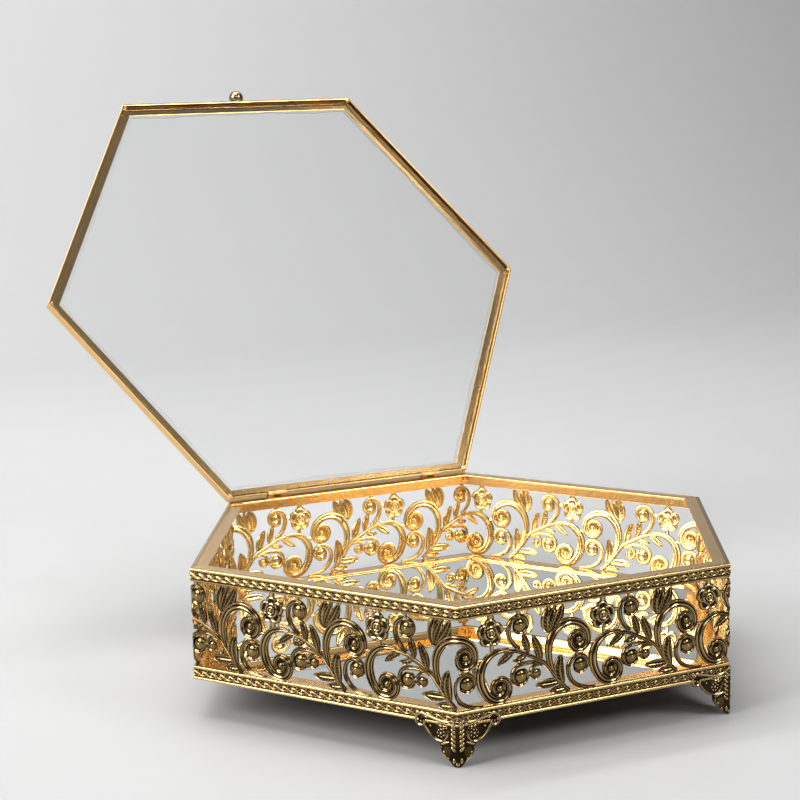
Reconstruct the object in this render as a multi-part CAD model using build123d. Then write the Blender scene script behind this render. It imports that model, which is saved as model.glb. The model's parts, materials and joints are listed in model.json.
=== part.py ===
from build123d import *
import math
import os

# Hexagonal storage box: pierced brass gallery walls, mirror floor, glazed lid standing open on its hinges.
# Millimetres, +Z up. The front wall faces -Y and the hinges lie along the back wall.
# Everything is drawn about the middle of the hexagon with the lid shut. The lid is then opened, and the
# whole box moved so that the origin is the middle of its footprint on the standing surface.

# Box walls
side = 125.0                  # outer side of the hexagon, which is half its width from corner to corner
foot_height = 15.8            # from the standing surface to the underside of the lower band
band_height = 5.6             # rope-moulded band along the top and the bottom of the gallery
openwork_height = 35.2        # pierced scrollwork between the bands
gallery_thickness = 1.5       # bands, outer face to back
openwork_thickness = 1.3      # pierced part, centred in the band's thickness
band_round = 0.4              # rounded outer edges of the bands
openwork_bite = 0.3           # how far scrolls and necks run into a band
motifs_per_side = 2.5
seam_from_corner = 68.3       # butt seam of the gallery strip in the back wall, from its right corner

# Angle bars round the inside of the gallery, flange inwards
bar_thickness = 0.8
rim_flange = 5.1              # width over the leg
rim_leg = 5.5
ledge_flange = 5.7
ledge_leg = 5.5
tab_thickness = 0.5           # lugs bent under the floor
tab_reach = 4.0
tab_width = 8.0
tab_spread = 62.0             # between the two lugs of one bar

# Floor
mirror_thickness = 3.0
board_thickness = 1.1
floor_clearance = 0.3         # round the mirror and its backing board

# Lid
lid_overhang = 1.0            # side of the lid over the side of the box
lid_depth = 4.5               # outer face of the flange to the free edge of the skirt
lid_flange = 5.2
lid_gap = 0.3                 # free edge of the skirt above the shut rim
glass_thickness = 1.8
glass_clearance = 1.05        # cut small enough to clear the hinge knuckles
film_thickness = 0.3          # adhesive between the flange and the glass
film_overhang = 1.8           # how far it has squeezed out past the flange
lid_angle = 124.3             # opening from shut to the stop

# Knob
knob_radius = 3.7
knob_seat = 2.6               # middle of the ball from its flat seat
knob_neck_radius = 1.6
knob_neck_length = 0.2
collar_radius = 2.6
collar_thickness = 0.5

# Hinges
hinge_from_left = 24.0        # from the back wall's corners, seen from the front
hinge_from_right = 19.5
hinge_width = 9.0
knuckle_radius = 1.1
pin_radius = 0.55
pin_running_clearance = 0.05  # in the lid's knuckle
pin_fixed_clearance = 0.02    # in the box's knuckles
knuckle_gap = 0.15            # end play between knuckles
leaf_thickness = 0.5
leaf_height = 5.0
axis_above_rim = 1.35
axis_outside_wall = 0.35
hinge_clearance = 0.3         # round the knuckles, in the lid's notch and the leaf's cut-out
stop_gap = 0.03               # between the leaves when the lid stands on its stop

# Feet
foot_proud = 0.9              # how far a foot stands out from the band
foot_under = 1.5              # how far it reaches in under the band
foot_cover = 4.6              # height of band that it covers
foot_wing = 16.8              # corner to the middle of the small scroll at the wing's end
foot_scroll = 2.6             # radius of that scroll
toe_width = 1.6               # flat of the toe, each side of the corner
rope_radius = 0.9             # twisted rope down the corner
rope_drop = 8.5               # its end below the band

# Solder
solder_radius = 1.1

lid_side = side + lid_overhang
apothem = side * math.sqrt(3) / 2
lid_apothem = lid_side * math.sqrt(3) / 2
band_low = foot_height
openwork_low = band_low + band_height
openwork_high = openwork_low + openwork_height
rim_top = openwork_high + band_height
hinge_places = {"left": hinge_from_left - side / 2, "right": side / 2 - hinge_from_right}
hinge_y = apothem + axis_outside_wall
hinge_z = rim_top + axis_above_rim
skirt_low = rim_top + lid_gap
lid_top = skirt_low + lid_depth
tall = 4 * rim_top            # taller than anything it cuts

wall_names = ["front", "front_right", "back_right", "back", "back_left", "front_left"]
foot_names = {"front_left": 240, "front_right": 300, "back_right": 60, "back_left": 120}


def hexagon(inradius, low, high):
    """Upright hexagonal prism with flats to the front and the back."""
    outline = RegularPolygon(inradius, 6, major_radius=False)
    return Pos(0, 0, low) * extrude(outline, high - low)


def sector(reach):
    """The front sixth of the plan, from the middle out past the wall: its sides are the mitres."""
    half = reach / math.sqrt(3)
    return extrude(Polygon((0, 0), (-half, -reach), (half, -reach), align=None), tall)


def wall_plate(outline, depth, thickness):
    """An outline in wall coordinates (x along the front wall, y up), extruded inwards from depth."""
    plane = Plane(origin=(0, -apothem + depth, 0), x_dir=(1, 0, 0), z_dir=(0, -1, 0))
    return plane * extrude(outline, thickness, dir=(0, 0, -1))


def section_bar(points, length):
    """A bar along the front wall from a section given as (distance in from the wall, height)."""
    plane = Plane(origin=(-length / 2, -apothem, 0), x_dir=(0, 1, 0), z_dir=(1, 0, 0))
    return plane * extrude(Polygon(*points, align=None), length, dir=(0, 0, 1))


# Scrollwork of one motif, drawn from the middle of its rose and up from the lower band, and fitted to the
# openwork's height once drawn. A run is a bend of some radius and turn, or a straight of some length.


def bend(radius, turn):
    return ("bend", radius, turn)


def straight(length):
    return ("straight", length, 0)


def centre_line(start, heading, runs):
    """Joints and middles of each run, as (x, z, heading, distance along)."""
    x, z = start
    angle = math.radians(heading)
    far = 0.0
    stations = []
    for kind, size, turn in runs:
        marks = []
        for share in (0.0, 0.5, 1.0):
            if kind == "straight":
                px = x + size * share * math.cos(angle)
                pz = z + size * share * math.sin(angle)
                marks.append((px, pz, angle, far + size * share))
            else:
                swing = math.radians(turn) * share
                r = math.copysign(size, turn)
                px = x + r * (math.sin(angle + swing) - math.sin(angle))
                pz = z - r * (math.cos(angle + swing) - math.cos(angle))
                marks.append((px, pz, angle + swing, far + abs(r * swing)))
        stations.append((kind, marks))
        x, z, angle, far = marks[-1]
    return stations, far


def ribbon(start, heading, runs, widths):
    """A scroll's band: width swells from the first value to the second, then thins to the third."""
    stations, length = centre_line(start, heading, runs)
    swell = 0.35 * length
    pieces = []
    for kind, marks in stations:
        left, right = [], []
        for x, z, angle, far in marks:
            if far < swell:
                width = widths[0] + (widths[1] - widths[0]) * far / swell
            else:
                width = widths[1] + (widths[2] - widths[1]) * (far - swell) / (length - swell)
            dx, dz = -math.sin(angle) * width / 2, math.cos(angle) * width / 2
            left.append((x + dx, z + dz))
            right.append((x - dx, z - dz))
        if kind == "straight":
            edges = [Line(left[0], left[2]), Line(right[2], right[0])]
        else:
            edges = [ThreePointArc(*left), ThreePointArc(*reversed(right))]
        edges.insert(1, Line(left[2], right[2]))
        edges.append(Line(right[0], left[0]))
        pieces.append(make_face(Wire(edges)))
    return pieces


def leaf(base, tip, width, belly):
    """A leaf between two arcs: belly bows it to the left of the way from its base to its tip."""
    run = Vector(tip[0] - base[0], tip[1] - base[1])
    middle = Vector(*base) + run * 0.5
    aside = Vector(-run.Y, run.X).normalized()
    left = middle + aside * (belly + width / 2)
    right = middle + aside * (belly - width / 2)
    return make_face(Wire([
        ThreePointArc(base, (left.X, left.Y), tip),
        ThreePointArc(tip, (right.X, right.Y), base),
    ]))


def disc(x, z, radius):
    return Pos(x, z) * Circle(radius)


def neck(x, z, width, height):
    return Pos(x, z) * Rectangle(width, height)


def rose():
    petals = [Rot(0, 0, 90 + 72 * k) * disc(3.7, 0, 2.4) for k in range(5)]
    bloom = [Pos(-0.2, 29) * petal for petal in petals]
    return bloom + [disc(-0.2, 29, 3.8)]


def stems():
    main = ribbon((34.8, 1.0), 141, [bend(30, -14), straight(7.2), bend(12, 26), straight(7.5),
                                     bend(16, 25), straight(1.5)], (2.0, 1.6, 1.5))
    root = ribbon((44.4, 0.3), 180, [bend(14, -30), bend(7.5, -60), bend(5.2, -90), bend(2.7, -90),
                                     bend(2.7, -60)], (1.0, 1.8, 1.4))
    return main + root + [disc(38.3, 11.0, 3.4), disc(34.2, 2.0, 1.4)]


def large_scrolls():
    lower = ribbon((8.6, 21.3), 178, [straight(3.2), bend(9.3, 92), bend(12.5, 45), bend(7.0, 45),
                                      bend(4.4, 90), bend(4.5, 60)], (1.6, 3.8, 1.6))
    upper = ribbon((27.6, 8.6), 122, [bend(18, -32), bend(11.4, -45), bend(8.8, -45), bend(9.8, -45),
                                      bend(7, -45), bend(4.0, -90), bend(4.3, -60)], (2.0, 3.5, 1.6))
    return lower + upper + [disc(4.4, 6.2, 4.5), disc(39.3, 20.8, 4.5)]


def small_scrolls():
    top = ribbon((12.6, 20.5), 152, [bend(9.2, -62), bend(4.6, -90), bend(3.2, -90), bend(2.7, -60)],
                 (1.4, 1.8, 1.5))
    middle = ribbon((21.4, 14.2), 146, [bend(8, 34), straight(2.2), bend(4.8, 90), bend(3.6, 90),
                                        bend(3.2, 90)], (1.3, 1.7, 1.3))
    tiny = ribbon((22.6, 13.2), 165, [bend(3.2, 105), bend(2.2, 90), bend(1.9, 60)], (1.1, 1.3, 1.1))
    return top + middle + tiny + [disc(12.5, 30.5, 3.2), disc(12.8, 11.2, 3.0), disc(20.2, 10.2, 1.9)]


def leaves():
    return [
        leaf((32.5, 4.2), (31.9, 16.8), 4.6, 1.2),
        leaf((25.9, 25.0), (27.0, 35.5), 3.6, 2.3),
        leaf((26.2, 25.6), (32.1, 35.5), 3.4, -1.1),
        leaf((16.9, 17.6), (14.9, 26.8), 3.0, -0.2),
        leaf((22.9, 14.2), (19.5, 25.6), 3.4, -0.5),
        leaf((10.8, 20.4), (3.6, 16.3), 2.7, -0.3),
        leaf((14.9, 19.4), (9.9, 17.0), 2.5, 0.5),
        leaf((30.6, 5.0), (19.9, 5.4), 3.5, 0.1),
        leaf((33.6, 2.4), (25.8, 2.1), 3.3, 0.1),
    ]


def necks():
    return [
        neck(0.4, 34.9, 1.8, 1.2),
        neck(0.4, 23.4, 1.3, 5.0),
        neck(6.4, 30.0, 2.8, 1.2),
        neck(13.2, 34.5, 1.7, 2.0),
        neck(39.0, 15.6, 1.6, 2.4),
        neck(4.7, 0.45, 2.4, 1.5),
        neck(17.1, 10.6, 1.8, 1.1),
        neck(45.3, 18.2, 3.6, 1.3),
    ]


def motif():
    faces = rose() + stems() + large_scrolls() + small_scrolls() + leaves() + necks()
    drawing = Sketch() + faces
    drawn = drawing.bounding_box()
    fitted = scale(drawing, (openwork_height + 2 * openwork_bite) / drawn.size.Y)
    return Pos(0, -openwork_bite - fitted.bounding_box().min.Y) * fitted


pitch = side / motifs_per_side
one_motif = motif()
wedge = sector(2 * apothem)


def openwork(first_rose):
    """Pierced part of one wall, with roses at first_rose and then at each pitch from the left corner."""
    roses = [first_rose + pitch * k for k in range(-1, math.ceil(motifs_per_side) + 1)]
    roses = [u for u in roses if -pitch < u < side + 0.3 * pitch]
    drawing = Sketch() + [Pos(u - side / 2, openwork_low) * one_motif for u in roses]
    window = Pos(0, openwork_low + openwork_height / 2) * Rectangle(
        side, openwork_height + 2 * openwork_bite)
    depth = (gallery_thickness - openwork_thickness) / 2
    return wall_plate(drawing & window, depth, openwork_thickness)


def whole(shape):
    """The piece without the crumbs of scroll that a straight cut leaves hanging on nothing."""
    return shape.solids().sort_by(SortBy.VOLUME)[-1]


def band(low):
    bar = section_bar([(0, low), (gallery_thickness, low), (gallery_thickness, low + band_height),
                       (0, low + band_height)], side)
    outer = bar.edges().filter_by(Axis.X).sort_by(Axis.Y)[:2]
    return fillet(outer, band_round)


def gallery_wall(first_rose):
    return whole((band(band_low) + band(openwork_high) + openwork(first_rose)) & wedge)


def rim_bar():
    """Angle bar under the lid: flange level with the top of the gallery, leg down its back."""
    inner = gallery_thickness
    points = [(inner, rim_top), (inner + rim_flange, rim_top),
              (inner + rim_flange, rim_top - bar_thickness),
              (inner + bar_thickness, rim_top - bar_thickness),
              (inner + bar_thickness, rim_top - rim_leg), (inner, rim_top - rim_leg)]
    return section_bar(points, side) & wedge


ledge_top = openwork_low
mirror_top = ledge_top - bar_thickness
board_top = mirror_top - mirror_thickness
board_low = board_top - board_thickness


def ledge_bar():
    """Angle bar that frames the floor: flange over the mirror, lugs bent under the board."""
    inner = gallery_thickness
    foot = ledge_top - ledge_leg
    back = inner + bar_thickness
    points = [(inner, ledge_top), (inner + ledge_flange, ledge_top),
              (inner + ledge_flange, mirror_top), (back, mirror_top), (back, foot), (inner, foot)]
    bar = section_bar(points, side) & wedge
    for x in (-tab_spread / 2, tab_spread / 2):
        lug = Box(tab_width, tab_reach + bar_thickness, tab_thickness,
                  align=(Align.CENTER, Align.MIN, Align.MAX))
        bar += Pos(x, -apothem + inner, board_low) * lug
    return bar


def foot():
    """Corner foot for the front wall's left corner, with a wing along each of its two walls."""
    rise = foot_cover
    scroll = foot_scroll
    wing = foot_wing
    lobe = wing * 0.38
    heel = lobe * 0.83
    ankle = toe_width * 2
    drop = foot_height
    edges = [
        Line((0, rise), (wing, rise)),
        Line((wing, rise), (wing - scroll, 0)),
        ThreePointArc((wing - scroll, 0), (wing * 0.56, -drop * 0.235), (lobe, -drop * 0.37)),
        Line((lobe, -drop * 0.37), (heel, -drop * 0.4)),
        ThreePointArc((heel, -drop * 0.4), (heel * 1.02, -drop * 0.62), (ankle, -drop * 0.78)),
        ThreePointArc((ankle, -drop * 0.78), (ankle * 0.78, -drop * 0.9), (toe_width, -drop)),
        Line((toe_width, -drop), (0, -drop)),
        Line((0, -drop), (0, rise)),
    ]
    outline = make_face(Wire(edges)) + disc(wing, rise - scroll, scroll)
    start = -side / 2 - foot_proud / math.sqrt(3)
    outline = Pos(start, band_low) * outline
    plate = wall_plate(outline, -foot_proud, foot_proud + foot_under)
    rebate = Pos(0, -apothem, band_low) * Box(2 * side, side, 2 * rise + band_height,
                                              align=(Align.CENTER, Align.MIN, Align.MIN))
    corner = Vector(-side / 2, -apothem)
    half_plan = Rot(0, 0, 240) * Pos(0, 0, -1) * Box(4 * side, 2 * side, tall,
                                                     align=(Align.CENTER, Align.MIN, Align.MIN))
    one = (plate - rebate) & half_plan
    other = mirror(one, Plane(origin=(0, 0, 0), z_dir=corner.rotate(Axis.Z, 90)))
    rope_line = Pos(corner.X, corner.Y, band_low - rope_drop)
    rope = rope_line * Cylinder(rope_radius + foot_proud / 2, rope_drop + foot_cover,
                                align=(Align.CENTER, Align.CENTER, Align.MIN))
    rope -= hexagon(apothem, band_low, rim_top)
    return one + other + rope


def corner_blobs(inradius, centre_z, low, high):
    """Solder drops in the inner corners of a frame, clipped to the space between its faces."""
    room = hexagon(inradius, low, high)
    reach = inradius * 2 / math.sqrt(3)
    drop = (Pos(reach - solder_radius / 2, 0, centre_z) * Rot(0, 0, 180) * Sphere(solder_radius)) & room
    return [Rot(0, 0, 60 * k) * drop for k in range(6)]


def lid_bar():
    """Angle bar of the lid: flange over the glass, skirt down to the rim."""
    out = apothem - lid_apothem
    inside = out + bar_thickness
    under = lid_top - bar_thickness
    points = [(out, lid_top), (out + lid_flange, lid_top), (out + lid_flange, under),
              (inside, under), (inside, skirt_low), (out, skirt_low)]
    return section_bar(points, lid_side) & wedge


def hinge_notches():
    """Room for the knuckles in the skirt of the lid's back bar."""
    height = hinge_z + knuckle_radius + hinge_clearance - skirt_low
    notch = Box(hinge_width + 2 * hinge_clearance, 4 * bar_thickness, height,
                align=(Align.CENTER, Align.CENTER, Align.MIN))
    return [Pos(x, lid_apothem, skirt_low) * notch for x in hinge_places.values()]


def along_x(x, length, radius):
    return Pos(x, hinge_y, hinge_z) * Rot(0, 90, 0) * Cylinder(radius, length)


def upright_plate(x, width, outer_y, low, high):
    plate = Box(width, leaf_thickness, high - low, align=(Align.CENTER, Align.MAX, Align.MIN))
    return Pos(x, outer_y, low) * plate


knuckle_length = (hinge_width - 2 * knuckle_gap) / 3
knuckle_step = knuckle_length + knuckle_gap
box_leaf_face = apothem + leaf_thickness
lid_leaf_face = lid_apothem + leaf_thickness
turn = math.radians(lid_angle)
room_radius = knuckle_radius + hinge_clearance
leaf_inside = lid_leaf_face - leaf_thickness - hinge_y
# The lid leaf starts above the box's knuckles; only its middle tongue comes down to the pin.
leaf_edge = hinge_z + math.sqrt(room_radius ** 2 - leaf_inside ** 2)
# At the stop the tongue's outer face lands on the box leaf's shoulder.
shoulder = hinge_z - (lid_leaf_face - hinge_y + stop_gap
                      - (box_leaf_face - hinge_y) * math.cos(turn)) / math.sin(turn)


def box_leaf(x):
    """Leaf on the back of the gallery, with the two outer knuckles."""
    low = rim_top - leaf_height
    leaf_plate = upright_plate(x, hinge_width, box_leaf_face, low, shoulder)
    for way in (-1, 1):
        place = x + way * knuckle_step
        leaf_plate += upright_plate(place, knuckle_length, box_leaf_face, low, hinge_z)
        leaf_plate += along_x(place, knuckle_length, knuckle_radius)
    return leaf_plate - along_x(x, 2 * hinge_width, pin_radius + pin_fixed_clearance)


def lid_leaf(x):
    """Leaf on the back of the lid's skirt, with the middle knuckle."""
    leaf_plate = upright_plate(x, hinge_width, lid_leaf_face, leaf_edge, lid_top)
    leaf_plate += upright_plate(x, knuckle_length, lid_leaf_face, hinge_z, leaf_edge)
    leaf_plate += along_x(x, knuckle_length, knuckle_radius)
    return leaf_plate - along_x(x, 2 * hinge_width, pin_radius + pin_running_clearance)


def build_box():
    """Nodes of the box, each a list of solids."""
    nodes = {}
    first_roses = [0.3 * pitch, 0.8 * pitch]
    walls = [gallery_wall(u) for u in first_roses]
    for k, name in enumerate(wall_names):
        spin = Rot(0, 0, 60 * k)
        wall = spin * walls[k % 2]
        if name == "back":
            seam = side / 2 - seam_from_corner
            right = Pos(seam, 0, 0) * Box(side, 4 * side, tall,
                                          align=(Align.MIN, Align.CENTER, Align.MIN))
            right_part = whole(wall & right)
            nodes["gallery_back_right_of_seam"] = [right_part]
            nodes["gallery_back_left_of_seam"] = [whole(wall - right_part)]
        else:
            nodes["gallery_" + name] = [wall]
        nodes["rim_bar_" + name] = [spin * rim_bar()]
        nodes["ledge_bar_" + name] = [spin * ledge_bar()]
    back = apothem - gallery_thickness - bar_thickness
    nodes["rim_solder"] = corner_blobs(back, rim_top - rim_leg / 2, rim_top - rim_leg,
                                       rim_top - bar_thickness)
    nodes["mirror_floor"] = [hexagon(back - floor_clearance, board_top, mirror_top)]
    nodes["backing_board"] = [hexagon(back - floor_clearance, board_low, board_top)]
    for name, angle in foot_names.items():
        nodes["foot_" + name] = [Rot(0, 0, angle - 240) * foot()]
    for name, x in hinge_places.items():
        nodes["hinge_" + name + "_box_leaf"] = [box_leaf(x)]
        nodes["hinge_" + name + "_pin"] = [along_x(x, hinge_width, pin_radius)]
    return nodes


def build_lid():
    """Nodes of the lid, drawn shut."""
    nodes = {}
    for k, name in enumerate(wall_names):
        bar = Rot(0, 0, 60 * k) * lid_bar()
        if name == "back":
            bar -= hinge_notches()
        nodes["lid_bar_" + name] = [bar]
    skirt_back = lid_apothem - bar_thickness
    glass_edge = skirt_back - glass_clearance
    film_top = lid_top - bar_thickness
    glass_top = film_top - film_thickness
    glass_low = glass_top - glass_thickness
    opening = lid_apothem - lid_flange - film_overhang
    film = hexagon(glass_edge, glass_top, film_top) - hexagon(opening, glass_top, film_top)
    nodes["lid_glass"] = [hexagon(glass_edge, glass_low, glass_top)]
    nodes["glass_adhesive"] = [film]
    nodes["lid_solder"] = corner_blobs(skirt_back, (skirt_low + glass_low) / 2, skirt_low,
                                       glass_low - film_thickness)
    face = -lid_apothem
    knob_z = skirt_low + lid_depth / 2
    neck_end = face - collar_thickness - knob_neck_length
    collar = Cylinder(collar_radius, collar_thickness, align=(Align.CENTER, Align.CENTER, Align.MIN))
    nodes["knob_collar"] = [Pos(0, face, knob_z) * Rot(90, 0, 0) * collar]
    stem = Cylinder(knob_neck_radius, knob_neck_length + knob_seat,
                    align=(Align.CENTER, Align.CENTER, Align.MIN))
    ball = Pos(0, neck_end - knob_seat, knob_z) * Sphere(knob_radius)
    ball &= Pos(0, neck_end, knob_z) * Box(4 * knob_radius, 4 * knob_radius, 4 * knob_radius,
                                           align=(Align.CENTER, Align.MAX, Align.CENTER))
    nodes["lid_knob"] = [Pos(0, face - collar_thickness, knob_z) * Rot(90, 0, 0) * stem + ball]
    for name, x in hinge_places.items():
        nodes["hinge_" + name + "_lid_leaf"] = [lid_leaf(x)]
    return nodes


def open_lid(shape):
    """Turns a shut lid piece back about the hinge pins to the stop."""
    axle = Pos(0, hinge_y, hinge_z)
    return axle * Rot(-lid_angle, 0, 0) * Pos(0, -hinge_y, -hinge_z) * shape


def main():
    nodes = build_box()
    for name, solids in build_lid().items():
        nodes[name] = [open_lid(shape) for shape in solids]
    extent = Compound([s for shapes in nodes.values() for shape in shapes for s in shape.solids()])
    bounds = extent.bounding_box()
    move = Pos(-bounds.center().X, -bounds.center().Y, 0)
    os.makedirs("parts", exist_ok=True)
    for name, shapes in nodes.items():
        solids = [move * s for shape in shapes for s in shape.solids()]
        piece = solids[0] if len(solids) == 1 else Compound(children=solids)
        export_step(piece, "parts/" + name + ".step")
    shift = -bounds.center().Y
    print("middle of the hexagon at y", round(shift, 4))
    print("hinge axis at y", round(hinge_y + shift, 4), "z", round(hinge_z, 4))


main()
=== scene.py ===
import json
import math
import random
import bpy
import bmesh
from mathutils import Matrix, Vector


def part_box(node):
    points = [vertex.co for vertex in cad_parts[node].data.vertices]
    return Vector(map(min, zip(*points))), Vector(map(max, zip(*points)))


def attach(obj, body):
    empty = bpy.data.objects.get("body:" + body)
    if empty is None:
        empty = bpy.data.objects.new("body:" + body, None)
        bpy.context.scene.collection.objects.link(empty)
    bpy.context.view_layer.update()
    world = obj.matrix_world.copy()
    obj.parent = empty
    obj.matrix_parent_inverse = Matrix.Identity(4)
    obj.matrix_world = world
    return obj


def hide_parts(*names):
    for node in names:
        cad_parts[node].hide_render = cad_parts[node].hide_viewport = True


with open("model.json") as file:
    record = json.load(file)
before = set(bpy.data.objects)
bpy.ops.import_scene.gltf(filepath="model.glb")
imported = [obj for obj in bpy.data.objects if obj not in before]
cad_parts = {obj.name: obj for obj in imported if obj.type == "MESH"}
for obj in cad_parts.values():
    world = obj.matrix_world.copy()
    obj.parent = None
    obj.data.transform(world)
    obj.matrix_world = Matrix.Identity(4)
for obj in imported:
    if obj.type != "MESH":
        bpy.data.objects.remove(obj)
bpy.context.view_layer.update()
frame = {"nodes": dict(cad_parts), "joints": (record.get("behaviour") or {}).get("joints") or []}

# Shapes below are drawn in millimetres in wall space: x to the right seen from outside, y up from the
# standing surface, z outwards from the wall's outer face. The frame gives the heights and widths.
mm = 0.001
mirrorLow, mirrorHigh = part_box("mirror_floor")
wallLow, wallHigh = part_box("gallery_front")
rimLow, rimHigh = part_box("rim_bar_front")
ledgeLow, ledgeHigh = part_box("ledge_bar_front")
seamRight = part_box("gallery_back_right_of_seam")[0]
middle = (mirrorLow + mirrorHigh) / 2

wallSide = (wallHigh.x - wallLow.x) / mm
apothem = (middle.y - wallLow.y) / mm
galleryThick = (wallHigh.y - wallLow.y) / mm
rimTop = wallHigh.z / mm
bandLow = wallLow.z / mm
openLow = ledgeHigh.z / mm
bandHeight = openLow - bandLow
wallNames = ["front", "front_right", "back_right", "back", "back_left", "front_left"]

lidJoint = frame["joints"][0]
hingePin = Vector(lidJoint["pos_m"])
openAngle = math.radians(max(lidJoint["range_deg"]))
toPin = Matrix.Translation(hingePin)
openLid = toPin @ Matrix.Rotation(-openAngle, 4, "X") @ toPin.inverted()
shutLid = openLid.inverted()


def shutBox(node):                      # a lid node's corners with the lid shut
    points = [shutLid @ v.co for v in frame["nodes"][node].data.vertices]
    low = Vector([min(p[i] for p in points) for i in range(3)])
    high = Vector([max(p[i] for p in points) for i in range(3)])
    return low, high


def facing(degrees, out, turn=Matrix.Identity(4)):     # upright, turned about the middle, moved out
    spin = Matrix.Rotation(math.radians(degrees), 4, "Z")
    upright = Matrix.Rotation(math.radians(90), 4, "X")
    place = Matrix.Translation((0, -out * mm, 0)) @ upright @ Matrix.Scale(mm, 4)
    return turn @ Matrix.Translation((middle.x, middle.y, 0)) @ spin @ place


def wallMatrix(k, turn=Matrix.Identity(4)):
    return facing(60 * k, apothem, turn)


def cornerMatrix(degrees):              # z outwards along the corner, from the corner's edge
    return facing(degrees - 270, wallSide)


def pieceName(node):                    # lid_bar_front becomes lidBarFront
    words = node.split("_")
    return words[0] + "".join(word.capitalize() for word in words[1:])


# Shader groups
def startGroup(name, inputs, outputs):
    group = bpy.data.node_groups.new(name, "ShaderNodeTree")
    for label, kind, value in inputs:
        socket = group.interface.new_socket(name=label, in_out="INPUT", socket_type=kind)
        socket.default_value = value
    for label, kind in outputs:
        group.interface.new_socket(name=label, in_out="OUTPUT", socket_type=kind)
    return group, group.nodes.new("NodeGroupInput"), group.nodes.new("NodeGroupOutput")


def feed(tree, node, values):           # numbers and colours are set, outputs are linked
    for label, value in values.items():
        if isinstance(value, (int, float, tuple)):
            node.inputs[label].default_value = value
        else:
            tree.links.new(value, node.inputs[label])


def objectCoords(tree):
    return tree.nodes.new("ShaderNodeTexCoord").outputs["Object"]


def noiseNode(tree, coords, scale, detail=3):
    node = tree.nodes.new("ShaderNodeTexNoise")
    feed(tree, node, {"Vector": coords, "Scale": scale, "Detail": detail})
    return node.outputs["Fac"]


def mathNode(tree, operation, first, second, clamp=False):
    node = tree.nodes.new("ShaderNodeMath")
    node.operation = operation
    node.use_clamp = clamp
    feed(tree, node, {0: first, 1: second})
    return node.outputs[0]


def rangeNode(tree, value, low, high, newLow=0.0, newHigh=1.0):
    node = tree.nodes.new("ShaderNodeMapRange")
    feed(tree, node, {"Value": value, "From Min": low, "From Max": high, "To Min": newLow,
                      "To Max": newHigh})
    return node.outputs["Result"]


def mixColours(tree, share, first, second):
    node = tree.nodes.new("ShaderNodeMix")
    node.data_type = "RGBA"
    feed(tree, node, {0: share, 6: first, 7: second})
    return node.outputs[2]


def rampNode(tree, share, stops):       # stops: two places, each with its colour
    node = tree.nodes.new("ShaderNodeValToRGB")
    for element, (position, colour) in zip(node.color_ramp.elements, stops):
        element.position = position
        element.color = (*colour, 1)
    feed(tree, node, {"Fac": share})
    return node.outputs["Color"]


def buildPlatingGroup():                # cloudy gold, darker in the hollows of the relief with patina and painted shade, lighter on its highest parts with wear and a painted highlight
    group, given, put = startGroup(
        "Gold plating",
        [("Bright", "NodeSocketColor", (1, 1, 1, 1)), ("Deep", "NodeSocketColor", (1, 1, 1, 1)),
         ("Patina and painted shade colour", "NodeSocketColor", (0, 0, 0, 1)),
         ("Rubbed and highlight colour", "NodeSocketColor", (1, 1, 1, 1)),
         ("Patina and painted shade depth", "NodeSocketFloat", 0.8), ("Cloud scale", "NodeSocketFloat", 60.0),
         ("Least roughness", "NodeSocketFloat", 0.15), ("Most roughness", "NodeSocketFloat", 0.3)],
        [("Colour", "NodeSocketColor"), ("Roughness", "NodeSocketFloat"), ("Height", "NodeSocketFloat")])
    coords = objectCoords(group)
    cloud = noiseNode(group, coords, given.outputs["Cloud scale"], 4)
    grain = noiseNode(group, coords, 900, 2)
    # vertex mask: patina and painted shade where it is high, wear and a painted highlight below nought
    hollow = group.nodes.new("ShaderNodeAttribute")
    hollow.attribute_name = "hollow"
    share = rangeNode(group, cloud, 0.35, 0.7)
    plated = mixColours(group, share, given.outputs["Bright"], given.outputs["Deep"])
    uneven = mathNode(group, "ADD", hollow.outputs["Fac"], mathNode(group, "MULTIPLY", cloud, 0.25))
    patinaShadeShare = rangeNode(group, uneven, 0.25, 1.0)
    patinaShadeShare = mathNode(group, "MULTIPLY", patinaShadeShare, given.outputs["Patina and painted shade depth"], True)
    # The attribute is below nought where the relief stands highest; there the gold is lightened with
    # wear and a painted highlight
    wearHighlightShare = rangeNode(group, hollow.outputs["Fac"], -0.05, -0.6)
    wearHighlightShare = mathNode(group, "MULTIPLY", wearHighlightShare, rangeNode(group, cloud, 0.3, 0.6, 0.55, 1.0))
    colour = mixColours(group, patinaShadeShare, plated, given.outputs["Patina and painted shade colour"])
    colour = mixColours(group, wearHighlightShare, colour, given.outputs["Rubbed and highlight colour"])
    rough = rangeNode(group, cloud, 0.3, 0.75, given.outputs["Least roughness"],
                      given.outputs["Most roughness"])
    height = mathNode(group, "ADD", mathNode(group, "MULTIPLY", grain, 0.3), cloud)
    feed(group, put, {"Colour": colour, "Roughness": rough, "Height": height})
    return group


def buildSmudgeGroup():                 # faint handling marks on polished glass
    group, given, put = startGroup(
        "Smudges", [("Scale", "NodeSocketFloat", 25.0), ("Strength", "NodeSocketFloat", 0.05)],
        [("Roughness", "NodeSocketFloat")])
    coords = objectCoords(group)
    cloud = noiseNode(group, coords, given.outputs["Scale"], 5)
    streak = rangeNode(group, cloud, 0.5, 0.8)
    rough = mathNode(group, "MULTIPLY", streak, given.outputs["Strength"], True)
    feed(group, put, {"Roughness": rough})
    return group


platingGroup = buildPlatingGroup()
smudgeGroup = buildSmudgeGroup()

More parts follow.
